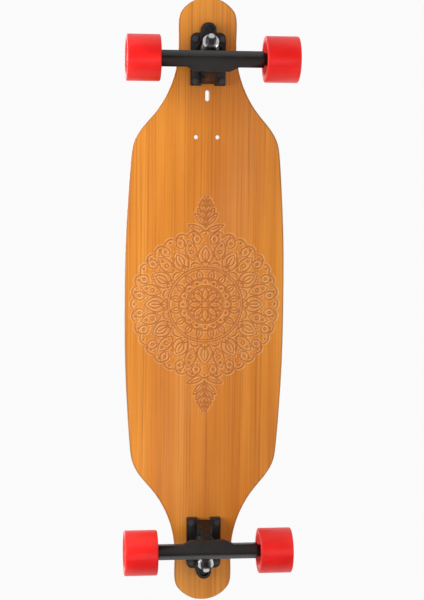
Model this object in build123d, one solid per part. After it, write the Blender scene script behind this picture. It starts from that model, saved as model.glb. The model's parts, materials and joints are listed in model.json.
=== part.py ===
from build123d import *

import os
from math import asin, cos, degrees, radians, sin

# A top-mount longboard skateboard standing on its four wheels. +X points to the nose, +Z up, and
# +Y to the rider's left. The origin is on the floor, below the middle of the deck. Millimetres.

# ---- deck ----
deck_length = 952.5
deck_width = 252.5
axle_setback = 96.5           # from the tip of the deck inwards to the axle
neck_width = 90.0
end_radius = 50.5             # nose and tail
end_arc_angle = 53.0          # half angle of that arc, in degrees
veneer_thickness = 1.6
core_thickness = 8.4
grip_thickness = 0.9
grip_inset = 3.4
concave_radius = 811.0        # underside, across the width
edge_round = 3.0
# Shoulders: distance inwards from the axle, and share of the step from neck to full half width.
shoulder_stations = [(-32, 0.0), (42, 0.158), (80, 0.43), (109, 0.724), (128, 0.841), (150, 0.886), (222, 0.949)]

# ---- holes through the deck near the nose ----
strap_slot_setin = 54.0       # from the axle inwards to the middle of the slot
strap_slot_length = 17.0
strap_slot_width = 6.4
accessory_hole_setin = 118.0
accessory_hole_spacing = 33.6
accessory_hole_diameter = 6.4

# ---- truck ----
axle_drop = 65.0              # deck underside to axle centre
pivot_slope = radians(40.0)   # the pivot axis rises by this angle towards the nearer deck end
ring_out = 16.0               # centre of the hanger's ring, outwards from the axle
ring_drop = 27.0              # and below the deck
riser_thickness = 3.0
plate_thickness = 6.0
plate_width = 54.0
plate_leg_end = 39.0          # inwards from the axle
plate_outer_end = 42.0        # outwards from the axle
lobe_setout = 46.0
lobe_radius = 12.0
plate_corner = 9.0
plate_leg_round = 2.0
notch_radius = 10.5
notch_setin = 36.0
bolt_spacing_long = 63.5
bolt_spacing_wide = 41.3
bolt_diameter = 4.8
bolt_clearance = 0.2
bolt_head_radius = 4.6
bolt_head_height = 2.8
bolt_stub = 2.0               # thread past the nut
bolt_nut_across = 9.5
bolt_nut_height = 4.5
boss_radius = 13.5
rib_width = 4.0
rib_height = 10.0
rib_length = 34.0
rib_start_setin = 2.0         # from the lobe's centre
rib_start_inset = 4.0         # from the lobe's edge
boss_length = 22.0
riser_window = (28.0, 22.0)   # room for the kingpin's head
riser_window_setin = 6.0
root_overlap = 1.0            # parts that grow from the plate start this deep in it
rim_inset = 0.8               # the lobe's rim stands this much inside its edge
tower_width = 16.0
gusset_width = 24.0
# Side profiles of the tower behind the pivot housing: outwards and upwards.
tower_profile = [(-13.6, -39.5), (-16, -49), (-23, -48), (-29, -30)]
gusset_profile = [(-15, -20), (-28, -28)]
swing_clearance = 3.0         # round the bushing, for the ring as it leans
nut_room = 2.2                # flat ground round each mounting nut
housing_wall = 2.5

kingpin_diameter = 9.5
kingpin_clearance = 0.1
kingpin_head_across = 14.3
kingpin_head_height = 4.8
kingpin_seat_wall = 5.2       # metal between the head and the bushing seat
kingpin_stub = 2.5
kingpin_nut_across = 14.3
kingpin_nut_height = 8.0
ring_radius = 14.0
ring_hole_radius = 7.2
ring_half_thickness = 5.0
boardside_length = 12.6
boardside_radius = 13.0
roadside_length = 12.0
roadside_radius = 13.4
roadside_tip_radius = 10.6
bushing_bore_clearance = 0.15
washer_radius = 12.4
washer_thickness = 1.8
washer_lip = 2.6

pivot_pin_radius = 5.0
pivot_clearance = 0.05
pivot_cup_wall = 2.0
pivot_start = 29.5            # mouth of the pivot housing, from the ring centre along the axis
pivot_pin_end = 38.5
pivot_cup_floor = 2.0
housing_clearance = 0.5

hanger_width = 180.0
wing_reach = 77.0             # the full section of the wing ends here, either side
end_boss_radius = 10.5
end_boss_tip_radius = 8.0
axle_diameter = 8.0
axle_length = 250.0
axle_nut_across = 12.7
axle_nut_height = 6.5
speed_ring_thickness = 0.9
speed_ring_radius = 5.6
race_fit = 0.03
# Wing section about the axle: outwards and upwards. The long flat faces the ground.
wing_section = [(3, -10), (12, -1), (9, 7), (-8, 7), (-13, 1), (-13, -10)]
# Plan of the belly behind the long flat: inwards of the axle, and half its width there.
belly_plan = [(0, 40), (13, 40), (19.5, 26)]
belly_thickness = 9.0
web_start = 12.0              # from the ring's centre towards the axle
web_plan = [(0.0, 11), (0.4, 17), (1.0, 38)]  # share of the web's length, and half width
web_half_thickness = 4.0
# Side profile of the arm that carries the pivot pin: along the pivot axis, and below it.
arm_profile = [(6, -5), (24, -6.5), (28.2, -6.5), (28.2, 11), (36, 13), (34, 26), (26, 23), (18, 9), (6, 5)]
arm_narrower = 4.0            # than the ring
pivot_pin_root = 20.0
bushing_clearance = 0.6
seat_clearance = 1.5

# ---- wheel ----
wheel_diameter = 70.0
wheel_width = 51.0
core_offset = 2.0             # the core sits this much inwards of the wheel's middle
wheel_core_radius = 16.0
wheel_lip_radius = 28.0
wheel_lip_round = 2.0
wheel_lip_chamfer = (1.5, 1.2)  # on the way into the recess
recess_floor_radius = 18.5
core_shoulder_radius = 9.4

# ---- bearing, 608 size ----
bearing_width = 7.0
bearing_radius = 11.0
outer_race_bore = 9.4
inner_race_radius = 6.1
ball_radius = 1.98
ball_clearance = 0.04
ball_count = 7
shield_thickness = 0.3
shield_inset = 0.25
shield_gap = 0.2
spacer_length = 10.0
spacer_radius = 5.6

# ---- worked out ----
axle_height = wheel_diameter / 2
deck_height = axle_height + axle_drop
axle_x = deck_length / 2 - axle_setback
wood_thickness = 2 * veneer_thickness + core_thickness
deck_top = wood_thickness + grip_thickness
hanger_half = hanger_width / 2
hub_start = hanger_half + speed_ring_thickness
hub_width = 2 * bearing_width + spacer_length
hub_middle = hub_start + hub_width / 2
wheel_middle = hub_middle + core_offset
nut_start = hub_start + hub_width + speed_ring_thickness
ball_pitch = (outer_race_bore + inner_race_radius) / 2
axle_radius = axle_diameter / 2
kingpin_radius = kingpin_diameter / 2
cup_radius = pivot_pin_radius + pivot_clearance + pivot_cup_wall
housing_radius = cup_radius + housing_wall
housing_end = pivot_pin_end + pivot_cup_floor + housing_wall
plate_bottom = -riser_thickness - plate_thickness
root = plate_bottom + root_overlap
cutter_size = (200.0, 200.0, 100.0)  # larger than a truck

# Truck frame: the origin is on the deck's underside above the axle, +X outwards, +Z up.
ring_centre = Vector(ring_out, 0, -ring_drop)
pivot_direction = Vector(-cos(pivot_slope), 0, -sin(pivot_slope))
kingpin_direction = Vector(sin(pivot_slope), 0, -cos(pivot_slope))
axle_centre = Vector(0, 0, -axle_drop)
seat_position = -(ring_half_thickness + boardside_length)
head_position = seat_position - kingpin_seat_wall
washer_position = ring_half_thickness + roadside_length
kingpin_nut_position = washer_position + washer_thickness


def along(direction, origin, start, end, radius):
    """A cylinder on an axis, from one distance along it to another."""
    plane = Plane(origin=origin + direction * start, z_dir=direction)
    return plane * Cylinder(radius, end - start, align=(Align.CENTER, Align.CENTER, Align.MIN))


def cone_along(direction, origin, start, end, start_radius, tip_radius):
    plane = Plane(origin=origin + direction * start, z_dir=direction)
    return plane * Cone(start_radius, tip_radius, end - start, align=(Align.CENTER, Align.CENTER, Align.MIN))


def hex_along(direction, origin, start, end, across):
    """A hexagonal prism with one flat facing sideways."""
    sideways = Vector(0, 1, 0) if abs(direction.Y) < 0.5 else Vector(1, 0, 0)
    plane = Plane(origin=origin + direction * start, x_dir=sideways, z_dir=direction)
    hexagon = RegularPolygon(across / 2, 6, major_radius=False)
    return extrude(plane * hexagon, amount=end - start)


def side_profile(points, width):
    """A prism across the truck from points given as outwards and up."""
    face = make_face(Polyline(*points, close=True))
    plane = Plane(origin=(0, 0, 0), x_dir=(1, 0, 0), z_dir=(0, -1, 0))
    return extrude(plane * face, amount=width / 2, both=True)


def pivot_profile(points, width):
    """A prism across the truck from points given along the pivot axis and along the kingpin."""
    face = make_face(Polyline(*points, close=True))
    plane = Plane(origin=ring_centre, x_dir=pivot_direction, z_dir=(0, -1, 0))
    return extrude(plane * face, amount=width / 2, both=True)


def ring_solid(points):
    """A solid of revolution about Y from points given as radius and place along Y."""
    return revolve(make_face(Polyline(*points, close=True)), Axis.Y)


def slab(bottom, top):
    """A shell that follows the deck's concave between two heights above its underside."""
    spread = degrees(asin(0.8 * deck_width / concave_radius))
    centre = (0, deck_height + concave_radius)
    low = CenterArc(centre, concave_radius - bottom, 270 - spread, 2 * spread)
    high = CenterArc(centre, concave_radius - top, 270 - spread, 2 * spread)
    section = make_face(Curve() + [low, high, Line(low @ 0, high @ 0), Line(low @ 1, high @ 1)])
    across = Plane(origin=(-deck_length, 0, 0), x_dir=(0, 1, 0), z_dir=(1, 0, 0))
    return extrude(across * section, amount=2 * deck_length)


# ---------------------------------------------------------------- deck
def deck_outline(inset=0):
    """The board's plan, or one drawn in from its edge."""
    neck_half = neck_width / 2 - inset
    wide_half = deck_width / 2 - inset
    step = wide_half - neck_half
    angle = radians(end_arc_angle)
    radius = end_radius - inset
    arc_centre = deck_length / 2 - end_radius
    arc_end = (arc_centre + radius * cos(angle), radius * sin(angle))
    shoulder = [(axle_x - setin, neck_half + share * step) for setin, share in shoulder_stations]
    side_points = [arc_end] + shoulder + [(0, wide_half)]
    tangents = [(-sin(angle), cos(angle)), (-1, 0)]
    right = Spline(*side_points, tangents=tangents)
    left = mirror(right, about=Plane.XZ)
    nose = CenterArc((arc_centre, 0), radius, -end_arc_angle, 2 * end_arc_angle)
    front = [nose, right, left]
    rear = [mirror(edge, about=Plane.YZ) for edge in front]
    return make_face(Curve() + front + rear)


def bolt_places():
    """Where the four mounting bolts of one truck stand, in the truck's frame."""
    long_half = bolt_spacing_long / 2
    wide_half = bolt_spacing_wide / 2
    return [(a * long_half, b * wide_half) for a in (-1, 1) for b in (-1, 1)]


def deck_holes():
    """Plan of everything drilled through the deck."""
    holes = [Pos(axle_x - strap_slot_setin, 0) * SlotOverall(strap_slot_length, strap_slot_width)]
    for side in (-1, 1):
        place = Pos(axle_x - accessory_hole_setin, side * accessory_hole_spacing / 2)
        holes.append(place * Circle(accessory_hole_diameter / 2))
    for end in (-1, 1):
        for bolt_x, bolt_y in bolt_places():
            place = Pos(end * (axle_x + bolt_x), bolt_y)
            holes.append(place * Circle(bolt_diameter / 2 + bolt_clearance))
    return holes


def countersinks():
    """Room for the bolt heads, which sit level with the grip tape."""
    depth = bolt_head_height + bolt_clearance
    start = Vector(0, 0, deck_height + deck_top - depth)
    radius = bolt_diameter / 2 + bolt_clearance
    flare = (bolt_head_radius - bolt_diameter / 2) / bolt_head_height
    cone = cone_along(Vector(0, 0, 1), start, 0, 2 * depth, radius, radius + flare * 2 * depth)
    return [Pos(end * (axle_x + x), y, 0) * cone for end in (-1, 1) for x, y in bolt_places()]


def deck_parts():
    low = Pos(0, 0, deck_height - 20)
    wood = extrude(low * (deck_outline() - deck_holes()), amount=80) & slab(0, wood_thickness)
    rims = [edge for edge in wood.edges() if edge.length > end_radius]
    wood = fillet(rims, edge_round)
    grip = extrude(low * (deck_outline(grip_inset) - deck_holes()), amount=80) & slab(wood_thickness, deck_top)
    for sink in countersinks():
        wood = wood - sink
        grip = grip - sink
    core_top = veneer_thickness + core_thickness
    return {
        "deck_bottom_veneer": wood & slab(-1, veneer_thickness),
        "deck_core": wood & slab(veneer_thickness, core_top),
        "deck_top_veneer": wood & slab(core_top, wood_thickness + 1),
        "grip_tape": grip,
    }


# ---------------------------------------------------------------- truck base
def plate_plan():
    """Outline of the baseplate: a rounded plate with two legs inwards and a round lobe outwards."""
    length = plate_leg_end + plate_outer_end
    plate = Pos((plate_outer_end - plate_leg_end) / 2, 0) * Rectangle(length, plate_width)
    shoulders = plate.vertices().group_by(Axis.X)[-1]
    plate = fillet(fillet(shoulders, plate_corner).vertices().group_by(Axis.X)[0], plate_leg_round)
    lobe = Pos(lobe_setout, 0) * Circle(lobe_radius)
    lobe_root = Pos(lobe_setout / 2, 0) * Rectangle(lobe_setout, 2 * lobe_radius)
    notch = Pos(-notch_setin, 0) * Circle(notch_radius)
    mouth = Pos(-notch_setin - notch_radius, 0) * Rectangle(2 * notch_radius, 2 * notch_radius)
    return plate + lobe + lobe_root - notch - mouth


def kingpin_recess():
    """Space for the kingpin and its head through the boss, the plate and the riser."""
    stem = along(kingpin_direction, ring_centre, head_position - 1, seat_position + 1,
                 kingpin_radius + kingpin_clearance)
    pocket = along(kingpin_direction, ring_centre, seat_position - boss_length - kingpin_head_height - 4, head_position,
                   kingpin_head_across / 2 * 1.155 + 0.4)
    return stem, pocket


def baseplate():
    plan = plate_plan()
    plate = extrude(Pos(0, 0, plate_bottom) * plan, amount=plate_thickness)
    under_plate = Pos(0, 0, -riser_thickness) * Box(*cutter_size, align=(Align.CENTER, Align.CENTER, Align.MAX))
    boss = along(kingpin_direction, ring_centre, seat_position - boss_length, seat_position, boss_radius)
    boss = boss & under_plate
    housing = along(pivot_direction, ring_centre, pivot_start, housing_end, housing_radius)
    column = side_profile([(-34, root), (-15, root)] + tower_profile, tower_width)
    gusset = side_profile([(-36, root), (-12, root)] + gusset_profile, gusset_width)
    ribs = []
    for side in (-1, 1):
        start = Vector(lobe_setout - rib_start_setin, side * (lobe_radius - rib_start_inset), root)
        towards = Vector(ring_out - lobe_setout, side * (plate_width / 2 - lobe_radius - 1), 0)
        plane = Plane(origin=start, x_dir=towards, z_dir=(0, 0, -1))
        rib = Rectangle(rib_length, rib_width, align=(Align.MIN, Align.CENTER))
        ribs.append(extrude(plane * rib, amount=rib_height))
    rim_radius = lobe_radius - rim_inset
    rim = extrude(Pos(lobe_setout, 0, root) * (Circle(rim_radius) - Circle(rim_radius - rib_width)),
                  amount=-rib_height)
    body = plate + boss + housing + column + gusset + ribs + rim
    stem, pocket = kingpin_recess()
    cup_seat = along(pivot_direction, ring_centre, pivot_start - 5, pivot_pin_end + pivot_cup_floor, cup_radius)
    swing = along(kingpin_direction, ring_centre, seat_position, seat_position + 40,
                  boardside_radius + swing_clearance)
    swing_outer = along(pivot_direction, ring_centre, -30, pivot_start, housing_radius - 1)
    body = body - stem - pocket - cup_seat - swing - (swing_outer - slab_plate())
    hole = Cylinder(bolt_diameter / 2 + bolt_clearance, 40)
    nut_face = Cylinder(bolt_nut_across / 2 + nut_room, 20, align=(Align.CENTER, Align.CENTER, Align.MAX))
    nut_face = Pos(0, 0, plate_bottom) * nut_face
    for x, y in bolt_places():
        body = body - Pos(x, y, 0) * hole - Pos(x, y, 0) * nut_face
    return body


def slab_plate():
    """The band of height that the flat plate fills, which the swing cut leaves alone."""
    return Pos(0, 0, plate_bottom - 1) * Box(*cutter_size, align=(Align.CENTER, Align.CENTER, Align.MIN))


def riser_pad():
    pad = extrude(Pos(0, 0, -riser_thickness) * plate_plan(), amount=riser_thickness + 3)
    window = Pos(-riser_window_setin, 0, 0) * Box(*riser_window, 20)
    pad = pad - Pos(0, 0, -deck_height) * slab(0, wood_thickness) - window
    hole = Cylinder(bolt_diameter / 2 + bolt_clearance, 40)
    for x, y in bolt_places():
        pad = pad - Pos(x, y, 0) * hole
    return pad


def mounting_hardware():
    bolts = []
    nuts = []
    down = Vector(0, 0, -1)
    head_top = deck_top
    shank_end = -plate_bottom + bolt_nut_height + bolt_stub
    for x, y in bolt_places():
        top = Vector(x, y, head_top)
        head = cone_along(down, top, 0, bolt_head_height, bolt_head_radius, bolt_diameter / 2)
        shank = along(down, top, 0, head_top + shank_end, bolt_diameter / 2)
        socket = hex_along(down, top, -1, 2.0, 3.2)
        bolts.append(head + shank - socket)
        face = Vector(x, y, plate_bottom)
        body = hex_along(down, face, 0, bolt_nut_height - 1.2, bolt_nut_across)
        collar = along(down, face, 0, bolt_nut_height, bolt_nut_across / 2 - 0.6)
        nuts.append(body + collar - along(down, face, -1, 10, bolt_diameter / 2))
    return bolts, nuts


def base_parts():
    bolts, nuts = mounting_hardware()
    cup = along(pivot_direction, ring_centre, pivot_start - 1, pivot_pin_end + pivot_cup_floor, cup_radius)
    cup = cup - along(pivot_direction, ring_centre, pivot_start - 2, pivot_pin_end + pivot_clearance,
                      pivot_pin_radius + pivot_clearance)
    head_start = head_position - kingpin_head_height
    pin_end = kingpin_nut_position + kingpin_nut_height + kingpin_stub
    kingpin = along(kingpin_direction, ring_centre, head_start, pin_end, kingpin_radius)
    kingpin = kingpin + hex_along(kingpin_direction, ring_centre, head_start, head_position, kingpin_head_across)
    nut = hex_along(kingpin_direction, ring_centre, kingpin_nut_position,
                    kingpin_nut_position + kingpin_nut_height - 2, kingpin_nut_across)
    nut = nut + along(kingpin_direction, ring_centre, kingpin_nut_position,
                      kingpin_nut_position + kingpin_nut_height, kingpin_nut_across / 2 - 0.8)
    nut = nut - along(kingpin_direction, ring_centre, 0, pin_end, kingpin_radius)
    bore = along(kingpin_direction, ring_centre, seat_position - 1, pin_end, kingpin_radius + bushing_bore_clearance)
    boardside = along(kingpin_direction, ring_centre, seat_position, -ring_half_thickness, boardside_radius) - bore
    roadside = cone_along(kingpin_direction, ring_centre, ring_half_thickness, washer_position,
                          roadside_radius, roadside_tip_radius) - bore
    washer = along(kingpin_direction, ring_centre, washer_position - washer_lip,
                   washer_position + washer_thickness, washer_radius)
    washer = washer - cone_along(kingpin_direction, ring_centre, washer_position - washer_lip - 0.01,
                                 washer_position, washer_radius - 0.9, roadside_tip_radius + 0.3) - bore
    return {
        "riser_pad": riser_pad(),
        "baseplate": baseplate(),
        "pivot_cup": cup,
        "kingpin": kingpin,
        "kingpin_nut": nut,
        "cup_washer": washer,
        "boardside_bushing": boardside,
        "roadside_bushing": roadside,
        "mounting_bolts": bolts,
        "mounting_nuts": nuts,
    }


# ---------------------------------------------------------------- hanger
def mirrored_face(half_outline):
    """A flat face from the +Y half of its outline."""
    other_half = [(x, -y) for x, y in reversed(half_outline)]
    return make_face(Polyline(*half_outline, *other_half, close=True))


def hanger():
    section = [(x, z - axle_drop) for x, z in wing_section]
    wing = side_profile(section, 2 * wing_reach)
    for side in (-1, 1):
        wing = wing + cone_along(Vector(0, side, 0), axle_centre, wing_reach - 1, hanger_half,
                                 end_boss_radius, end_boss_tip_radius)
    belly_face = mirrored_face([(-inwards, half) for inwards, half in belly_plan])
    belly = extrude(Pos(0, 0, -axle_drop + wing_section[0][1]) * belly_face, amount=belly_thickness)
    ring = along(kingpin_direction, ring_centre, -ring_half_thickness, ring_half_thickness, ring_radius)
    arm = pivot_profile(arm_profile, 2 * ring_radius - arm_narrower)
    web_direction = (axle_centre - ring_centre).normalized()
    web_plane = Plane(origin=ring_centre + web_direction * web_start, x_dir=web_direction,
                      z_dir=Vector(0, 1, 0).cross(web_direction))
    web_length = (axle_centre - ring_centre).length - web_start
    web_face = mirrored_face([(share * web_length, half) for share, half in web_plan])
    web = extrude(web_plane * web_face, amount=web_half_thickness, both=True)
    pin = along(pivot_direction, ring_centre, pivot_pin_root, pivot_pin_end, pivot_pin_radius)
    around_housing = along(pivot_direction, ring_centre, pivot_start - 1.3, 80, housing_radius + housing_clearance)
    bushing_room = along(kingpin_direction, ring_centre, ring_half_thickness, 60,
                         roadside_radius + bushing_clearance)
    over_room = along(kingpin_direction, ring_centre, -60, -ring_half_thickness, boardside_radius + seat_clearance)
    body = wing + belly + web + arm - around_housing - bushing_room - over_room
    body = body + ring + pin
    body = body - along(kingpin_direction, ring_centre, -10, 10, ring_hole_radius)
    return body - along(Vector(0, 1, 0), axle_centre, -hanger_half - 1, hanger_half + 1, axle_radius)


def hanger_parts():
    across = Vector(0, 1, 0)
    axle = along(across, axle_centre, -axle_length / 2, axle_length / 2, axle_radius)
    axle = chamfer(axle.edges().filter_by(GeomType.CIRCLE), 0.8)
    rings = []
    races = []
    spacers = []
    nuts = []
    for side in (-1, 1):
        outwards = Vector(0, side, 0)
        for start in (hanger_half, hub_start + hub_width):
            washer = along(outwards, axle_centre, start, start + speed_ring_thickness, speed_ring_radius)
            hole = along(outwards, axle_centre, start - 1, start + 2, axle_radius + race_fit)
            rings.append(washer - hole)
        for start in (hub_start, hub_start + bearing_width + spacer_length):
            race = along(outwards, axle_centre, start, start + bearing_width, inner_race_radius)
            hole = along(outwards, axle_centre, start - 1, start + bearing_width + 1, axle_radius + race_fit)
            groove = Torus(ball_pitch, ball_radius + ball_clearance)
            middle = axle_centre + outwards * (start + bearing_width / 2)
            races.append(race - hole - Pos(*middle) * Rot(90, 0, 0) * groove)
        start = hub_start + bearing_width
        spacer = along(outwards, axle_centre, start, start + spacer_length, spacer_radius)
        spacers.append(spacer - along(outwards, axle_centre, start - 1, start + 20, axle_radius + race_fit))
        nut = hex_along(outwards, axle_centre, nut_start, nut_start + axle_nut_height - 1.6, axle_nut_across)
        nut = nut + along(outwards, axle_centre, nut_start, nut_start + axle_nut_height, axle_nut_across / 2 - 0.7)
        nuts.append(nut - along(outwards, axle_centre, nut_start - 1, nut_start + 20, axle_radius))
    return {
        "hanger": hanger(),
        "axle": axle,
        "speed_rings": rings,
        "bearing_inner_races": races,
        "bearing_spacers": spacers,
        "axle_nuts": nuts,
    }


# ---------------------------------------------------------------- wheel
def wheel_parts():
    """One wheel about the Y axis, with Y measured outwards from the middle of the truck."""
    radius = wheel_diameter / 2
    inner = wheel_middle - wheel_width / 2
    outer = wheel_middle + wheel_width / 2
    hub_end = hub_start + hub_width
    lip_step, lip_depth = wheel_lip_chamfer
    throat_radius = wheel_lip_radius - lip_step
    tyre_points = [
        (wheel_core_radius, hub_start), (recess_floor_radius, hub_start), (throat_radius, inner + lip_depth),
        (wheel_lip_radius, inner), (radius, inner), (radius, outer), (wheel_lip_radius, outer),
        (throat_radius, outer - lip_depth), (recess_floor_radius, hub_end), (wheel_core_radius, hub_end)]
    tyre_face = make_face(Polyline(*tyre_points, close=True))
    lips = [v for v in tyre_face.vertices() if v.X > radius - 0.1]
    tyre = revolve(fillet(lips, wheel_lip_round), Axis.Y)
    core = ring_solid([
        (bearing_radius, hub_start), (wheel_core_radius, hub_start), (wheel_core_radius, hub_end),
        (bearing_radius, hub_end), (bearing_radius, hub_end - bearing_width),
        (core_shoulder_radius, hub_end - bearing_width), (core_shoulder_radius, hub_start + bearing_width),
        (bearing_radius, hub_start + bearing_width)])
    races = []
    balls = []
    shields = []
    for start in (hub_start, hub_start + bearing_width + spacer_length):
        end = start + bearing_width
        middle = (start + end) / 2
        race = ring_solid([(outer_race_bore, start), (bearing_radius, start), (bearing_radius, end),
                           (outer_race_bore, end)])
        groove = Pos(0, middle, 0) * Rot(90, 0, 0) * Torus(ball_pitch, ball_radius + ball_clearance)
        races.append(race - groove)
        for number in range(ball_count):
            angle = radians(360 / ball_count * number)
            balls.append(Pos(ball_pitch * cos(angle), middle, ball_pitch * sin(angle)) * Sphere(ball_radius))
        for face in (start + shield_inset, end - shield_inset - shield_thickness):
            shields.append(ring_solid([(inner_race_radius + shield_gap, face), (outer_race_bore, face),
                                       (outer_race_bore, face + shield_thickness),
                                       (inner_race_radius + shield_gap, face + shield_thickness)]))
    return {
        "wheel_tyre": tyre,
        "wheel_core": core,
        "bearing_outer_races": races,
        "bearing_balls": balls,
        "bearing_shields": shields,
    }


# ---------------------------------------------------------------- whole board
def placed(shape, place):
    """Every solid of a piece moved to its place, as one compound when there are several."""
    pieces = shape if isinstance(shape, list) else [shape]
    solids = [place * solid for piece in pieces for solid in piece.solids()]
    return solids[0] if len(solids) == 1 else Compound(children=solids)


def board():
    parts = {name: placed(shape, Location()) for name, shape in deck_parts().items()}
    base = base_parts()
    carried = hanger_parts()
    wheel = wheel_parts()
    for end, turn in (("front", 0), ("rear", 180)):
        truck = Rot(0, 0, turn) * Pos(axle_x, 0, deck_height)
        for name, shape in (base | carried).items():
            parts[f"{end}_{name}"] = placed(shape, truck)
        for side, side_turn in (("left", 0), ("right", 180)):
            sign = 1 if end == "front" else -1
            hub = Pos(sign * axle_x, 0, axle_height) * Rot(0, 0, side_turn)
            for name, shape in wheel.items():
                parts[f"{end}_{side}_{name}"] = placed(shape, hub)
    return parts


os.makedirs("parts", exist_ok=True)
for name, shape in board().items():
    export_step(shape, f"parts/{name}.step")
    print(f"{name}: {len(shape.solids())} solids, {shape.volume:.0f} mm3")
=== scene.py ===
# %% [markdown]
# A longboard skateboard on its four wheels. The construction is already made to size: a bamboo-faced
# deck, two cast trucks, and wheels on ball bearings. This lesson loads it as a fixed frame and gives
# it its looks. We carve the underside, soften the castings' edges, and finish every surface.
# All lengths are metres, +X points to the nose and +Z up, and the wheels stand on z = 0.

# %% Load the frame
import json
import math

import bpy
import numpy as np
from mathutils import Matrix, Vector
from mathutils.bvhtree import BVHTree


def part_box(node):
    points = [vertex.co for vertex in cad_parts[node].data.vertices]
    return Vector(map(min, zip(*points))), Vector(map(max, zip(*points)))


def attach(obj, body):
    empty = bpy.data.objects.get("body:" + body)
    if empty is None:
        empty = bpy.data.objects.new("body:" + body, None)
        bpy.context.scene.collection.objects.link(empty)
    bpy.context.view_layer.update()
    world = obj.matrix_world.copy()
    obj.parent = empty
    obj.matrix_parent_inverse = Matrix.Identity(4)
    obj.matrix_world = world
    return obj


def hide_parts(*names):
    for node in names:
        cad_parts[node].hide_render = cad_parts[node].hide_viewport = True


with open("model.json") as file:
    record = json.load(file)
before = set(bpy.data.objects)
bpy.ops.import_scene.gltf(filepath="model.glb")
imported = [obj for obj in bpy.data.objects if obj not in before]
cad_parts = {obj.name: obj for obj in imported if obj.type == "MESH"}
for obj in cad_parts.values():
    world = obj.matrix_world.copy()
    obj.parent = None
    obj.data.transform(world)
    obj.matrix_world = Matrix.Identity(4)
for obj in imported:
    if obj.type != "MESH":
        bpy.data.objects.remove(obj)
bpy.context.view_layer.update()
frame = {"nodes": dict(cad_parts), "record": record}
nodes = frame["nodes"]

# %% [markdown]
# Most steps need the same few small tools: one that clears the selection before an operator runs, one
# that copies a frame piece so that the copy can be modelled on, and one that measures a piece. The
# frame's own pieces are never changed, because they belong to the construction.

# %% Small tools
MERGE_DISTANCE = 0.00002


def select_only(piece):
    """Selects one piece and makes it the active one."""
    bpy.ops.object.select_all(action="DESELECT")
    piece.select_set(True)
    bpy.context.view_layer.objects.active = piece


def copy_of(node, name):
    """A free copy of a frame piece with its loose triangles joined up."""
    piece = nodes[node].copy()
    piece.data = nodes[node].data.copy()
    piece.name = name
    piece.parent = None
    piece.matrix_world = nodes[node].matrix_world.copy()
    bpy.context.scene.collection.objects.link(piece)
    select_only(piece)
    bpy.ops.object.transform_apply(location=True, rotation=True, scale=True)
    bpy.ops.object.mode_set(mode="EDIT")
    bpy.ops.mesh.select_all(action="SELECT")
    bpy.ops.mesh.remove_doubles(threshold=MERGE_DISTANCE)
    bpy.ops.object.mode_set(mode="OBJECT")
    return piece


def apply_all(piece):
    """Applies every modifier on a piece, in order."""
    select_only(piece)
    for modifier in list(piece.modifiers):
        bpy.ops.object.modifier_apply(modifier=modifier.name)


def paint(piece, material):
    """Gives the whole piece one material."""
    piece.data.materials.clear()
    piece.data.materials.append(material)


# %% [markdown]
# A finish is a chain of nodes that ends in one shader. Each function below starts the same way, so
# the start is made once: a new material, its shader with plain numbers set on its own sockets, and
# the piece's own coordinates, in metres.

# %% Start of a finish
COAT_ROUGHNESS = 0.08


def new_finish(name, roughness, metallic=0.0, coat=0.0, specular=0.5):
    material = bpy.data.materials.new(name)
    material.use_nodes = True
    tree = material.node_tree
    shader = tree.nodes["Principled BSDF"]
    shader.inputs["Roughness"].default_value = roughness
    shader.inputs["Metallic"].default_value = metallic
    shader.inputs["Coat Weight"].default_value = coat
    shader.inputs["Coat Roughness"].default_value = COAT_ROUGHNESS
    shader.inputs["Specular IOR Level"].default_value = specular
    place = tree.nodes.new("ShaderNodeTexCoord").outputs["Object"]
    return material, tree, shader, place


def stretched(tree, place, scale):
    """Coordinates scaled differently along each axis, for grain."""
    mapping = tree.nodes.new("ShaderNodeMapping")
    mapping.inputs["Scale"].default_value = scale
    tree.links.new(place, mapping.inputs["Vector"])
    return mapping.outputs["Vector"]


# %% [markdown]
# These helpers each add one link to the chain: noise, a ramp from a number to a colour, a mix of two
# colours, a bump, and a gloss that follows a pattern. The Mix node has its colour sockets after its
# number and vector ones, which is why they are reached by their places in the list.

# %% Links of a finish
MIX_FIRST_COLOUR = 6
MIX_SECOND_COLOUR = 7
MIX_COLOUR_RESULT = 2


def noise(tree, vector, scale, detail=3.0, rough=0.55):
    node = tree.nodes.new("ShaderNodeTexNoise")
    node.inputs["Scale"].default_value = scale
    node.inputs["Detail"].default_value = detail
    node.inputs["Roughness"].default_value = rough
    tree.links.new(vector, node.inputs["Vector"])
    return node.outputs["Fac"]


def ramp(tree, value, stops):
    """A colour ramp from (position, colour) stops."""
    node = tree.nodes.new("ShaderNodeValToRGB")
    elements = node.color_ramp.elements
    while len(elements) < len(stops):
        elements.new(0.5)
    for element, (position, colour) in zip(elements, stops):
        element.position = position
        element.color = (*colour, 1.0)
    tree.links.new(value, node.inputs["Fac"])
    return node.outputs["Color"]


def blend_colour(tree, mode, factor, first, second):
    node = tree.nodes.new("ShaderNodeMix")
    node.data_type = "RGBA"
    node.blend_type = mode
    if isinstance(factor, float):
        node.inputs[0].default_value = factor
    else:
        tree.links.new(factor, node.inputs[0])
    pairs = ((node.inputs[MIX_FIRST_COLOUR], first), (node.inputs[MIX_SECOND_COLOUR], second))
    for socket, colour in pairs:
        if isinstance(colour, tuple):
            socket.default_value = (*colour, 1.0)
        else:
            tree.links.new(colour, socket)
    return node.outputs[MIX_COLOUR_RESULT]


def bump(tree, shader, height, strength, distance):
    node = tree.nodes.new("ShaderNodeBump")
    node.inputs["Strength"].default_value = strength
    node.inputs["Distance"].default_value = distance
    tree.links.new(height, node.inputs["Height"])
    tree.links.new(node.outputs["Normal"], shader.inputs["Normal"])


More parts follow.
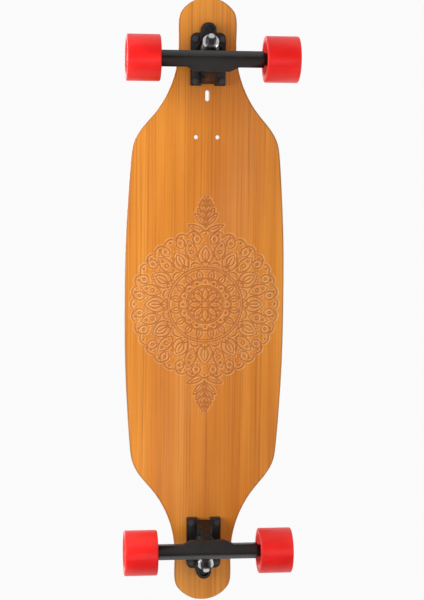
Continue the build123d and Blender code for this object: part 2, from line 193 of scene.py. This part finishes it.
def roughness_from(tree, shader, value, low, high):
    node = tree.nodes.new("ShaderNodeMapRange")
    node.inputs["To Min"].default_value = low
    node.inputs["To Max"].default_value = high
    tree.links.new(value, node.inputs["Value"])
    tree.links.new(node.outputs["Result"], shader.inputs["Roughness"])


# %% [markdown]
# Varnished bamboo is made of narrow strips laid side by side, each a little lighter or darker than
# the next, with fine fibres running the length of the board. We stretch noise along X for the fibres
# and use a second, finer stretch for the strips. A clear coat gives the varnish its gloss.
# Where the ornament is cut, a number stored on the mesh darkens the wood, as a burnt-in line would.
# Two more stored numbers paint a highlight beside each cut and paint shade along the board's rim.

# %% Bamboo
HONEY_DARK = (0.58, 0.196, 0.014)
HONEY = (0.68, 0.258, 0.019)
HONEY_LIGHT = (0.79, 0.345, 0.042)
# painted shade: the brown laid along the board's rim stands in for the shadow on its edge
RIM_PAINTED_SHADE = (0.20, 0.062, 0.014)
CUT_DARKENING = 0.62
FIBRE_STRETCH = (3.0, 420.0, 60.0)
STRIP_STRETCH = (0.9, 34.0, 20.0)
CLOUD_STRETCH = (3.2, 9.0, 6.0)
WHITE = (1.0, 1.0, 1.0)


def stored_number(tree, name):
    """A number kept on the mesh at each of its points."""
    node = tree.nodes.new("ShaderNodeAttribute")
    node.attribute_name = name
    return node.outputs["Fac"]


def with_carving_and_painted_light(tree, colour):
    """Wood with a painted highlight beside each cut, brown in it, and painted shade along the board's
    rim.
    """
    shade = tree.nodes.new("ShaderNodeMath")
    shade.operation = "MULTIPLY"
    shade.inputs[1].default_value = CUT_DARKENING
    tree.links.new(stored_number(tree, "cut"), shade.inputs[0])
    colour = blend_colour(tree, "MIX", stored_number(tree, "lip"), colour, CUT_LIP_PAINTED_HIGHLIGHT)
    colour = blend_colour(tree, "MIX", shade.outputs[0], colour, CUT_BROWN)
    return blend_colour(tree, "MIX", stored_number(tree, "rim"), colour, RIM_PAINTED_SHADE)
CUT_BROWN = (0.36, 0.120, 0.028)
# painted highlight: the bright colour laid beside each cut stands in for light on the cut's sharp lip
CUT_LIP_PAINTED_HIGHLIGHT = (1.0, 0.72, 0.40)


def bamboo(name, carved=False):
    material, tree, shader, place = new_finish(name, roughness=0.34, coat=0.35, specular=0.3)
    fibres = noise(tree, stretched(tree, place, FIBRE_STRETCH), 1.0, 4.0, 0.6)
    strips = noise(tree, stretched(tree, place, STRIP_STRETCH), 1.0, 4.0, 0.55)
    clouds = noise(tree, stretched(tree, place, CLOUD_STRETCH), 1.0, 3.0, 0.5)
    base = ramp(tree, strips, [(0.25, HONEY_DARK), (0.50, HONEY), (0.78, HONEY_LIGHT)])
    fine = ramp(tree, fibres, [(0.30, (0.60, 0.48, 0.36)), (0.50, WHITE), (0.80, (1.08, 1.06, 1.02))])
    wide = ramp(tree, clouds, [(0.30, (0.86, 0.80, 0.70)), (0.70, (1.08, 1.10, 1.16))])
    colour = blend_colour(tree, "MULTIPLY", 0.70, base, fine)
    colour = blend_colour(tree, "MULTIPLY", 0.85, colour, wide)
    if carved:
        colour = with_carving_and_painted_light(tree, colour)
    tree.links.new(colour, shader.inputs["Base Color"])
    roughness_from(tree, shader, fibres, 0.26, 0.44)
    bump(tree, shader, fibres, 0.12, 0.0004)
    return material


# %% [markdown]
# The core shows only as the board's edge, where many thin plies lie on each other. Object height
# alone would draw level lines, but the plies follow the concave, so the stripes are kept faint.

# %% Edge plies
PLY_DARK = (0.30, 0.125, 0.045)
PLY = (0.56, 0.30, 0.12)
PLY_LIGHT = (0.70, 0.42, 0.19)


def plies(name):
    material, tree, shader, place = new_finish(name, roughness=0.38, coat=0.3)
    fibres = noise(tree, stretched(tree, place, (6.0, 30.0, 420.0)), 1.0, 3.0, 0.5)
    colour = ramp(tree, fibres, [(0.30, PLY_DARK), (0.55, PLY), (0.75, PLY_LIGHT)])
    tree.links.new(colour, shader.inputs["Base Color"])
    bump(tree, shader, fibres, 0.1, 0.0003)
    return material


# %% [markdown]
# Grip tape is black paper covered with coarse grit. Cell noise gives the grains, which stand up in the
# bump, and scuffs make some patches greyer.

# %% Grip tape
GRAINS_PER_METRE = 1500.0
GRAIN_TOP = (0.060, 0.060, 0.062)
GRAIN_GAP = (0.012, 0.012, 0.013)


def grit(name):
    material, tree, shader, place = new_finish(name, roughness=0.85, specular=0.35)
    grains = tree.nodes.new("ShaderNodeTexVoronoi")
    grains.inputs["Scale"].default_value = GRAINS_PER_METRE
    tree.links.new(place, grains.inputs["Vector"])
    scuffs = noise(tree, place, 9.0, 4.0, 0.6)
    dark = ramp(tree, grains.outputs["Distance"], [(0.0, GRAIN_TOP), (0.7, GRAIN_GAP)])
    worn = ramp(tree, scuffs, [(0.40, (0.75, 0.75, 0.75)), (0.75, (1.9, 1.85, 1.8))])
    tree.links.new(blend_colour(tree, "MULTIPLY", 0.8, dark, worn), shader.inputs["Base Color"])
    bump(tree, shader, grains.outputs["Distance"], 0.7, 0.0005)
    return material


# %% [markdown]
# The trucks are cast aluminium under satin black powder coat. Powder coat has a fine orange peel and
# is a shade lighter where it is rubbed, so the colour and the gloss both vary a little.

# %% Powder coat


def powder_coat(name, shade):
    material, tree, shader, place = new_finish(name, roughness=0.36, specular=0.38)
    peel = noise(tree, place, 900.0, 2.0, 0.5)
    patches = noise(tree, place, 55.0, 3.0, 0.55)
    dark = tuple(0.72 * c for c in shade)
    light = tuple(1.30 * c for c in shade)
    colour = ramp(tree, patches, [(0.30, dark), (0.55, shade), (0.80, light)])
    tree.links.new(colour, shader.inputs["Base Color"])
    roughness_from(tree, shader, patches, 0.26, 0.44)
    bump(tree, shader, peel, 0.25, 0.0003)
    return material


# %% [markdown]
# Bright parts are zinc-plated or ground steel. Turned steel has hair-fine rings; here a stretched
# noise stands for the tool marks, and the gloss follows them.

# %% Steel


def steel(name, tone, roughness):
    material, tree, shader, place = new_finish(name, roughness=roughness, metallic=1.0)
    marks = noise(tree, stretched(tree, place, (900.0, 220.0, 900.0)), 1.0, 2.0, 0.5)
    low = tuple(0.82 * c for c in tone)
    colour = ramp(tree, marks, [(0.25, low), (0.75, tone)])
    tree.links.new(colour, shader.inputs["Base Color"])
    roughness_from(tree, shader, marks, roughness * 0.8, roughness * 1.3)
    bump(tree, shader, marks, 0.08, 0.0002)
    return material


# %% [markdown]
# Cast urethane is slightly see-through: light enters and comes back as a warmer glow. A little
# subsurface does that. The tread is finely ground; here fine pores vary the gloss and roughen the
# surface a little all over, and broad patches vary the tone.

# %% Urethane and rubber


def urethane(name, tone, roughness, glow):
    material, tree, shader, place = new_finish(name, roughness=roughness, specular=0.45)
    pores = noise(tree, place, 700.0, 3.0, 0.6)
    patches = noise(tree, place, 38.0, 3.0, 0.5)
    dark = tuple(0.93 * c for c in tone)
    colour = ramp(tree, patches, [(0.30, dark), (0.60, tone)])
    tree.links.new(colour, shader.inputs["Base Color"])
    shader.inputs["Subsurface Weight"].default_value = glow
    shader.inputs["Subsurface Radius"].default_value = (0.004, 0.0008, 0.0006)
    shader.inputs["Subsurface Scale"].default_value = 1.0
    roughness_from(tree, shader, pores, roughness * 0.8, roughness * 1.25)
    bump(tree, shader, pores, 0.10, 0.0002)
    return material


# %% [markdown]
# Every material slot of the record gets its finish here. Then each frame piece is painted with the
# finish of its own slot, so that nothing is left in plain grey.

# %% Mix the finishes
FINISHES = {
    "bamboo_veneer": bamboo("bamboo underside", carved=True),
    "maple_core": plies("plies"),
    "top_veneer": bamboo("bamboo rim"),
    "grip_tape": grit("grip grit"),
    "riser_rubber": urethane("riser rubber", (0.016, 0.016, 0.017), 0.7, 0.0),
    "black_casting": powder_coat("black powder coat", (0.009, 0.009, 0.010)),
    "pivot_urethane": urethane("pivot urethane", (0.025, 0.025, 0.027), 0.5, 0.0),
    "bushing_urethane": urethane("black bushing urethane", (0.030, 0.030, 0.032), 0.4, 0.0),
    "bright_steel": steel("zinc plate", (0.64, 0.64, 0.65), 0.26),
    "black_steel": powder_coat("black oxide", (0.045, 0.045, 0.050)),
    "red_urethane": urethane("red urethane", (0.90, 0.030, 0.026), 0.40, 0.05),
    "wheel_core_plastic": urethane("red core", (0.70, 0.030, 0.035), 0.38, 0.05),
    "bearing_steel": steel("bearing steel", (0.72, 0.72, 0.74), 0.18),
    "shield_black": urethane("black shield", (0.02, 0.02, 0.022), 0.45, 0.0),
}
slot_of = {part["node"]: part["material_slot"] for part in frame["record"]["subparts"]}
for node, piece in nodes.items():
    paint(piece, FINISHES[slot_of[node]])
print("finishes", len(FINISHES))

# %% [markdown]
# The camera and the light come early, so that every later step can be looked at. The board is seen
# from under the floor, a little from the nose end and from its right-hand side, through a long lens.
# The aim is a point on the deck's underside, and a small roll tips the board as a hand would hold it.

# %% Camera
CAMERA_PLACE = Vector((0.266, -0.275, -2.31))
CAMERA_AIM = Vector((0.0072, 0.0105, 0.100))
CAMERA_ROLL = 0.0102
FOCAL_LENGTH = 93.1

bpy.ops.object.camera_add(location=CAMERA_PLACE)
camera = bpy.context.object
forward = (CAMERA_AIM - CAMERA_PLACE).normalized()
right = forward.cross(Vector((1, 0, 0))).normalized()
up = right.cross(forward)
turned_right = right * math.cos(CAMERA_ROLL) + up * math.sin(CAMERA_ROLL)
turned_up = up * math.cos(CAMERA_ROLL) - right * math.sin(CAMERA_ROLL)
for row in range(3):
    camera.matrix_world[row][0] = turned_right[row]
    camera.matrix_world[row][1] = turned_up[row]
    camera.matrix_world[row][2] = -forward[row]
camera.data.lens = FOCAL_LENGTH
camera.data.sensor_width = 36.0
bpy.context.scene.camera = camera
bpy.context.scene.view_settings.view_transform = "Standard"
print("camera", tuple(round(v, 3) for v in camera.location))

# %% [markdown]
# Soft studio light needs lamps both above and below, because the board is looked at from both sides.
# The world gives the even part. It is brighter to the camera than to the board, so the backdrop is
# pale without washing the wood out.

# %% Backdrop
PALE = (0.96, 0.96, 0.96)
WORLD_LIGHT = 0.44


def only_for_sight(tree):
    """One for rays that look, reflect or refract, and zero for rays that carry light."""
    path = tree.nodes.new("ShaderNodeLightPath")
    total = path.outputs["Is Camera Ray"]
    for other in ("Is Glossy Ray", "Is Transmission Ray"):
        add = tree.nodes.new("ShaderNodeMath")
        add.operation = "MAXIMUM"
        tree.links.new(total, add.inputs[0])
        tree.links.new(path.outputs[other], add.inputs[1])
        total = add.outputs[0]
    return total


world = bpy.data.worlds.new("studio")
bpy.context.scene.world = world
world.use_nodes = True
sky = world.node_tree
seen = sky.nodes["Background"]
seen.inputs["Color"].default_value = (*PALE, 1.0)
lighting = sky.nodes.new("ShaderNodeBackground")
lighting.inputs["Color"].default_value = (1.0, 0.99, 0.975, 1.0)
lighting.inputs["Strength"].default_value = WORLD_LIGHT
choice = sky.nodes.new("ShaderNodeMixShader")
sky.links.new(only_for_sight(sky), choice.inputs["Fac"])
sky.links.new(lighting.outputs[0], choice.inputs[1])
sky.links.new(seen.outputs[0], choice.inputs[2])
sky.links.new(choice.outputs[0], sky.nodes["World Output"].inputs["Surface"])
print("backdrop", PALE, "world light", WORLD_LIGHT)

# %% [markdown]
# The key lamps stand on the board's right-hand side, so that its edge there catches the light and the
# carving gets a shadow in each line. A long narrow lamp behind the viewer puts a soft sheen on the
# varnish. Lamps aren't seen themselves, only what they light.

# %% Lamps
LIGHT_AIM = (0, 0, 0.1)
LAMPS = [
    ("key below", (0.5, -1.9, -1.0), (0.1, 0, 0.1), (1.6, 0.35), 34.0),
    ("fill below", (-0.7, 1.8, -1.5), LIGHT_AIM, (1.4, 0.8), 4.0),
    ("sheen below", (-0.35, 0.32, -2.7), LIGHT_AIM, (1.8, 0.25), 9.0),
    ("key above", (1.4, -3.0, 5.0), LIGHT_AIM, (4.0, 3.0), 170.0),
    ("fill above", (-2.4, 3.4, 4.4), LIGHT_AIM, (4.0, 3.0), 70.0),
]


def soft_lamp(name, place, aim, size, watts):
    """A square lamp at a place, turned to face a point."""
    bpy.ops.object.light_add(type="AREA", location=place)
    lamp = bpy.context.object
    lamp.name = name
    lamp.data.shape = "RECTANGLE"
    lamp.data.size, lamp.data.size_y = size
    lamp.data.energy = watts
    lamp.visible_camera = False
    lamp.rotation_euler = (Vector(aim) - Vector(place)).to_track_quat("-Z", "Y").to_euler()


for lamp_values in LAMPS:
    soft_lamp(*lamp_values)
print("lamps", len(LAMPS))

# %% [markdown]
# The floor is a large pale sheet, a hair below the wheels. Seen from underneath it turns clear, and it
# casts no shadow of its own, so the lamps below it light the board's underside. Seen from above it is
# an ordinary matt floor that keeps the board's shadow.

# %% Floor
FLOOR_SIZE = 60.0
FLOOR_DROP = 0.0005
FLOOR_COLOUR = (0.86, 0.86, 0.86)

bpy.ops.object.select_all(action="DESELECT")
bpy.ops.mesh.primitive_plane_add(size=FLOOR_SIZE, location=(0, 0, -FLOOR_DROP))
floor = bpy.context.object
floor.name = "studio floor"
floor_finish, tree, shader, place = new_finish("pale floor", roughness=0.9)
shader.inputs["Base Color"].default_value = (*FLOOR_COLOUR, 1.0)
clear = tree.nodes.new("ShaderNodeBsdfTransparent")
side = tree.nodes.new("ShaderNodeNewGeometry").outputs["Backfacing"]
shade_ray = tree.nodes.new("ShaderNodeLightPath").outputs["Is Shadow Ray"]
through = tree.nodes.new("ShaderNodeMath")
through.operation = "MAXIMUM"
tree.links.new(side, through.inputs[0])
tree.links.new(shade_ray, through.inputs[1])
floor_choice = tree.nodes.new("ShaderNodeMixShader")
tree.links.new(through.outputs[0], floor_choice.inputs["Fac"])
tree.links.new(shader.outputs[0], floor_choice.inputs[1])
tree.links.new(clear.outputs[0], floor_choice.inputs[2])
tree.links.new(floor_choice.outputs[0], tree.nodes["Material Output"].inputs["Surface"])
paint(floor, floor_finish)
print("floor", FLOOR_SIZE, "m wide")

# %% [markdown]
# The underside carries an engraved ornament: a round rosette in the middle and leaf sprays along the
# board. On the real board a cutter follows drawn lines. We draw with distances: for each point of the
# wood, how far is it from the nearest line? Rings, petals, arches and dots are short formulas, and
# folding the angle repeats them round the rosette without drawing any of them twice.

# %% Lines of the ornament


def fold(angle, count, turn=0.0):
    """Angle from the middle of the nearest of count equal sectors."""
    step = 2 * math.pi / count
    return (angle + turn + step / 2) % step - step / 2


def ring_line(radius, at):
    return np.abs(radius - at)


def petal_line(radius, angle, count, inner, outer, width, turn=0.0, power=1.0):
    """Distance to the outline of pointed petals between two radii."""
    reach = np.clip((radius - inner) / (outer - inner), 0.0, 1.0)
    half = width * np.sin(math.pi * reach) ** power
    across = np.abs(fold(angle, count, turn)) * radius
    distance = np.abs(across - half) * 0.85
    outside = np.maximum(inner - radius, radius - outer)
    return np.maximum(distance, outside)


def vein_line(radius, angle, count, inner, outer, turn=0.0):
    across = np.abs(fold(angle, count, turn)) * radius
    return np.maximum(across, np.maximum(inner - radius, radius - outer))


def dot_line(radius, angle, count, at, size, turn=0.0):
    """Distance to small circles on a ring."""
    folded = fold(angle, count, turn)
    x = radius * np.cos(folded) - at
    y = radius * np.sin(folded)
    return np.abs(np.hypot(x, y) - size)


def arch_line(radius, angle, count, at, height, turn=0.0):
    """Distance to a row of round arches that stand on a ring."""
    folded = fold(angle, count, turn)
    half_step = math.pi / count
    crown = at + height * np.sqrt(np.clip(1 - (folded / half_step) ** 2, 0.0, 1.0))
    return np.abs(radius - crown) * 0.75


def rosette(x, y):
    """Distance to the nearest line of the round part, from the middle outwards."""
    radius = np.hypot(x, y)
    angle = np.arctan2(y, x)
    lines = [
        # the middle flower and its rings
        ring_line(radius, 0.0050), ring_line(radius, 0.0270), ring_line(radius, 0.0300),
        ring_line(radius, 0.0560), ring_line(radius, 0.0595),
        petal_line(radius, angle, 8, 0.0062, 0.0262, 0.0046),
        petal_line(radius, angle, 8, 0.0120, 0.0262, 0.0022, math.pi / 8),
        # the ring of sixteen arches
        arch_line(radius, angle, 16, 0.0305, 0.0110),
        dot_line(radius, angle, 16, 0.0352, 0.0014),
        petal_line(radius, angle, 16, 0.0385, 0.0550, 0.0048, math.pi / 16),
        vein_line(radius, angle, 16, 0.0425, 0.0500, math.pi / 16),
        # the crown of twelve large petals
        arch_line(radius, angle, 24, 0.0600, 0.0080),
        petal_line(radius, angle, 12, 0.0600, 0.0950, 0.0120, 0.0, 0.8),
        petal_line(radius, angle, 12, 0.0680, 0.0900, 0.0058, 0.0, 0.9),
        vein_line(radius, angle, 12, 0.0640, 0.0840),
        petal_line(radius, angle, 12, 0.0720, 0.1040, 0.0085, math.pi / 12, 0.8),
        dot_line(radius, angle, 12, 0.0860, 0.0028, math.pi / 12),
        dot_line(radius, angle, 12, 0.0960, 0.0018, math.pi / 12),
        # the lace at the outside
        petal_line(radius, angle, 24, 0.0950, 0.1130, 0.0068, math.pi / 24, 0.7),
        dot_line(radius, angle, 24, 0.1040, 0.0020, math.pi / 24),
        arch_line(radius, angle, 36, 0.1085, 0.0080),
        dot_line(radius, angle, 36, 0.1115, 0.0012),
    ]
    return np.minimum.reduce(lines)


# %% [markdown]
# Each spray is a gently waving stem with pairs of leaves. A leaf is a stretched sine arch, turned by
# its lean, with a vein down the middle, and only its start, length and lean differ from the others'.

# %% Leaf sprays
SPRAY_START = 0.120
STEM_LENGTH = 0.044
STEM_SWAY = 0.0016
STEM_WAVES = 160
LEAF_HALF_WIDTH = 0.0042
VEIN_START = 0.15
VEIN_END = 0.75
ROSETTE_EDGE = 0.1185
# Where each leaf leaves the stem, how long it is, and how many degrees it leans out.
LEAVES = [(0.004, 0.026, 42), (0.014, 0.022, 38), (0.024, 0.018, 34), (0.034, 0.013, 30),
          (-0.006, 0.030, 68), (0.040, 0.010, 8)]


def leaf_lines(along, across, start, length, lean):
    """Distances to a leaf's outline and to its vein."""
    u = ((along - start) * math.cos(lean) + across * math.sin(lean)) / length
    v = np.abs(across * math.cos(lean) - (along - start) * math.sin(lean))
    inside = np.clip(u, 0.0, 1.0)
    outside = np.maximum(-u, u - 1.0) * length
    outline = np.abs(v - LEAF_HALF_WIDTH * np.sin(math.pi * inside) ** 0.8) * 0.9
    past_vein = np.maximum(VEIN_START - u, u - VEIN_END) * length
    return [np.maximum(outline, outside), np.maximum(v, past_vein)]


def sprays(x, y):
    """Distance to the leaf sprays that run from the rosette towards both ends of the board."""
    along = np.abs(x) - SPRAY_START
    across = np.abs(y)
    sway = np.abs(across - STEM_SWAY * np.sin(along * STEM_WAVES))
    lines = [np.maximum(sway, np.maximum(-along, along - STEM_LENGTH))]
    for start, length, lean in LEAVES:
        lines += leaf_lines(along, across, start, length, math.radians(lean))
    return np.maximum(np.minimum.reduce(lines), ROSETTE_EDGE - np.hypot(x, y))


# %% [markdown]
# The cutter has a rounded tip, so a line's depth eases in from both sides. Beside each line a narrow
# strip of wood is painted brighter: a painted highlight that stands for the light its sharp lip catches.

# %% Depth of the cut
LINE_HALF = 0.0006
LINE_SOFT = 0.0007
CUT_DEPTH = 0.0007
LIP_SETOUT = 1.6


def ornament(x, y):
    """How deep the cutter has gone at each point, from 0 to 1, and how strong the painted highlight
    beside the line is.
    """
    distance = np.minimum(rosette(x, y), sprays(x, y))
    depth = np.clip((LINE_HALF + LINE_SOFT - distance) / LINE_SOFT, 0.0, 1.0)
    # lip: how strongly the painted highlight is laid on the strip beside each line
    lip = np.clip(1 - np.abs(distance - LINE_HALF - LIP_SETOUT * LINE_SOFT) / LINE_SOFT, 0.0, 1.0)
    return depth * depth * (3 - 2 * depth), lip


# %% [markdown]
# Now the veneer itself. A flat grid is added and its rows are spread along the board, closer together
# where the ornament is. Each row is as wide as the board is there, and each point is pushed up until
# it meets the construction's underside, so the new skin follows the concave and the rounded rim
# exactly. A coarser back is made the same way, one wall higher.

# %% Measuring the wood
UPWARDS = Vector((0, 0, 1))
WIDER_THAN_BOARD = 0.2
HALVINGS = 16
EDGE_HAIR = 0.00005
STEP_INWARDS = 0.995


def veneer_tree(veneer):
    """The construction's veneer as a thing that rays can hit."""
    mesh = veneer.data
    matrix = veneer.matrix_world
    points = [matrix @ v.co for v in mesh.vertices]
    return BVHTree.FromPolygons(points, [tuple(p.vertices) for p in mesh.polygons])


def row_half_width(tree, x):
    """Half the board's width at one place along it, a hair inside the edge."""
    low, high = 0.0, WIDER_THAN_BOARD
    for _ in range(HALVINGS):
        middle = (low + high) / 2
        hit = tree.ray_cast(Vector((x, middle, -1)), UPWARDS)
        if hit[0] is None:
            high = middle
        else:
            low = middle
    return max(low - EDGE_HAIR, EDGE_HAIR)


def underside_height(tree, x, y):
    """Height of the wood above a point, or not-a-number where there is none."""
    hit = tree.ray_cast(Vector((x, y, -1)), UPWARDS)
    if hit[0] is None:
        hit = tree.ray_cast(Vector((x, y * STEP_INWARDS, -1)), UPWARDS)
    return float("nan") if hit[0] is None else hit[0].z


# %% The carved underside
FINE_HALF = 0.168
FINE_STEP = 0.00118
SKIN_COLUMNS = 190
BACK_COLUMNS = 12
OUTER_ROWS = 92
SKIN_WALL = 0.0012
TIP_GAP = 0.0006
CONCAVE_RADIUS = 0.811
INNER_COLUMNS = 0.90
RIM_SHARE = 0.97


def row_places(half_length):
    """Where the rows of the skin lie along the board: fine in the middle, and fine at the tips."""
    fine = np.arange(-FINE_HALF, FINE_HALF + FINE_STEP / 2, FINE_STEP)
    reach = half_length - TIP_GAP - FINE_HALF
    ease = np.sin(np.linspace(0, math.pi / 2, OUTER_ROWS + 1)[1:])
    outer = FINE_HALF + reach * ease
    return np.concatenate([-outer[::-1], fine, outer])


def crowd_at_rim(share):
    """Moves columns outwards so that the last tenth of them lies on the rounded rim."""
    size = np.abs(share)
    inner = size * RIM_SHARE / INNER_COLUMNS
    outer = RIM_SHARE + (size - INNER_COLUMNS) * (1 - RIM_SHARE) / (1 - INNER_COLUMNS)
    return np.sign(share) * np.where(size < INNER_COLUMNS, inner, outer)


def spread_sheet(name, columns, rows, widths, tree, level):
    """A grid spread over the underside, the places of its points, and how far they are from the rim."""
    bpy.ops.object.select_all(action="DESELECT")
    bpy.ops.mesh.primitive_grid_add(x_subdivisions=len(rows) - 1, y_subdivisions=columns, size=1.0)
    sheet = bpy.context.object
    sheet.name = name
    places = np.empty(len(sheet.data.vertices) * 3)
    sheet.data.vertices.foreach_get("co", places)
    places = places.reshape(-1, 3)
    row = np.rint((places[:, 0] + 0.5) * (len(rows) - 1)).astype(int)
    x = rows[row]
    y = widths[row] * crowd_at_rim(places[:, 1] * 2)
    z = np.array([underside_height(tree, px, py) for px, py in zip(x, y)])
    z = np.where(np.isnan(z), level + y ** 2 / (2 * CONCAVE_RADIUS), z)
    to_rim = widths[row] - np.abs(y)
    return sheet, x, y, z, to_rim


# %% [markdown]
# The sheet's points now sink in by the cutter's depth. The depth, the painted highlight beside each
# line and the painted shade along the rim are also stored on the points as numbers, which the bamboo
# finish reads. Joining the coarse back and bridging the two open rims makes one closed piece.

# %% Carve and close
# strength of the painted highlight beside each cut line
LIP_HIGHLIGHT_STRENGTH = 0.55
# how far in from the rim the painted shade reaches, and how dark it is
RIM_SHADE_WIDTH = 0.0032
RIM_SHADE_STRENGTH = 0.75


def carved_underside():
    """The engraved veneer as one closed piece."""
    veneer = nodes["deck_bottom_veneer"]
    low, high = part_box("deck_bottom_veneer")
    rows = row_places((high[0] - low[0]) / 2)
    tree = veneer_tree(veneer)
    widths = np.array([row_half_width(tree, x) for x in rows])
    skin, x, y, z, to_rim = spread_sheet("carved_underside", SKIN_COLUMNS, rows, widths, tree, low[2])
    cut, lip = ornament(x, y)
    skin.data.vertices.foreach_set("co", np.stack([x, y, z + cut * CUT_DEPTH], axis=1).ravel())
    back, x, y, z, _ = spread_sheet("skin_back", BACK_COLUMNS, rows, widths, tree, low[2])
    back.data.vertices.foreach_set("co", np.stack([x, y, z + SKIN_WALL], axis=1).ravel())
    # rim: strength of the painted shade along both edges of the board
    rim = RIM_SHADE_STRENGTH * np.clip(1 - to_rim / RIM_SHADE_WIDTH, 0.0, 1.0)
    for name, values in (("cut", cut), ("lip", lip * LIP_HIGHLIGHT_STRENGTH), ("rim", rim)):
        layer = skin.data.attributes.new(name, "FLOAT", "POINT")
        layer.data.foreach_set("value", values.astype(np.float32))
    bpy.ops.object.select_all(action="DESELECT")
    back.select_set(True)
    skin.select_set(True)
    bpy.context.view_layer.objects.active = skin
    bpy.ops.object.join()
    bpy.ops.object.mode_set(mode="EDIT")
    bpy.ops.mesh.select_mode(type="EDGE")
    bpy.ops.mesh.select_all(action="DESELECT")
    bpy.ops.mesh.select_non_manifold()
    bpy.ops.mesh.bridge_edge_loops()
    bpy.ops.mesh.select_all(action="SELECT")
    bpy.ops.mesh.normals_make_consistent(inside=False)
    bpy.ops.object.mode_set(mode="OBJECT")
    print("skin", len(skin.data.polygons), "faces", len(rows), "rows")
    return skin


skin = carved_underside()

# %% [markdown]
# The strap slot and the two accessory holes are cut through the skin with a Boolean. The cutters are
# made at the places of the real holes, and a little longer than the wall is thick.

# %% Drill the skin
SLOT_PLACE = (0.32575, 0.0)
SLOT_HALF_RUN = 0.0053
SLOT_RADIUS = 0.0032
HOLE_PLACES = [(0.26175, 0.0168), (0.26175, -0.0168)]
HOLE_RADIUS = 0.0032
CUTTER_HEIGHT = 0.03
WOOD_HEIGHT = 0.103
SKIN_SMOOTH_ANGLE = math.radians(50)


def rod_through_wood(x, y, radius):
    bpy.ops.object.select_all(action="DESELECT")
    place = (x, y, WOOD_HEIGHT)
    bpy.ops.mesh.primitive_cylinder_add(vertices=32, radius=radius, depth=CUTTER_HEIGHT, location=place)
    return bpy.context.object


def slot_cutter():
    """A rod stretched along the board by moving half of its points."""
    rod = rod_through_wood(*SLOT_PLACE, SLOT_RADIUS)
    for vertex in rod.data.vertices:
        vertex.co.x += SLOT_HALF_RUN if vertex.co.x > 0 else -SLOT_HALF_RUN
    return rod


def cut_away(piece, cutter):
    boolean = piece.modifiers.new("cut", "BOOLEAN")
    boolean.operation = "DIFFERENCE"
    boolean.solver = "EXACT"
    boolean.object = cutter
    apply_all(piece)
    bpy.data.objects.remove(cutter, do_unlink=True)


cut_away(skin, slot_cutter())
for hole_place in HOLE_PLACES:
    cut_away(skin, rod_through_wood(*hole_place, HOLE_RADIUS))
select_only(skin)
bpy.ops.object.shade_smooth_by_angle(angle=SKIN_SMOOTH_ANGLE)
paint(skin, FINISHES["bamboo_veneer"])
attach(skin, "deck")
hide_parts("deck_bottom_veneer")
print("carved skin", len(skin.data.polygons), "faces")

# %% [markdown]
# A casting has no sharp edges: molten metal doesn't fill them and powder coat rounds them further.
# The frame's castings have ideal edges, so each is copied, its flat faces are cleared of extra lines,
# and a small two-step bevel is run round every edge that turns sharply. The tyres come out of a mould
# too, so their lips get the same treatment with a finer bevel, and smooth shading hides their facets.

# %% Soft edges on castings and tyres
CAST_BEVEL = 0.0009
LIP_BEVEL = 0.0004
BEVEL_FROM_ANGLE = math.radians(28)
FLAT_WITHIN_ANGLE = math.radians(1.0)
SMOOTH_UP_TO_ANGLE = math.radians(35)


def soften(node, body, slot, width):
    """A copy of a frame piece with its sharp edges rounded, which stands for it."""
    piece = copy_of(node, node + "_softened")
    clean = piece.modifiers.new("clear flats", "DECIMATE")
    clean.decimate_type = "DISSOLVE"
    clean.angle_limit = FLAT_WITHIN_ANGLE
    round_edges = piece.modifiers.new("round edges", "BEVEL")
    round_edges.width = width
    round_edges.segments = 2
    round_edges.limit_method = "ANGLE"
    round_edges.angle_limit = BEVEL_FROM_ANGLE
    apply_all(piece)
    bpy.ops.object.shade_smooth_by_angle(angle=SMOOTH_UP_TO_ANGLE)
    paint(piece, FINISHES[slot])
    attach(piece, body)
    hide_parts(node)
    return piece


for end in ("front", "rear"):
    for side in ("left", "right"):
        wheel = end + "_" + side
        tyre = soften(wheel + "_wheel_tyre", wheel + "_wheel", "red_urethane", LIP_BEVEL)
        print(tyre.name, len(tyre.data.polygons), "faces")
    for node, body in ((end + "_hanger", end + "_hanger_body"), (end + "_baseplate", "deck")):
        softened = soften(node, body, "black_casting", CAST_BEVEL)
        print(softened.name, len(softened.data.polygons), "faces")
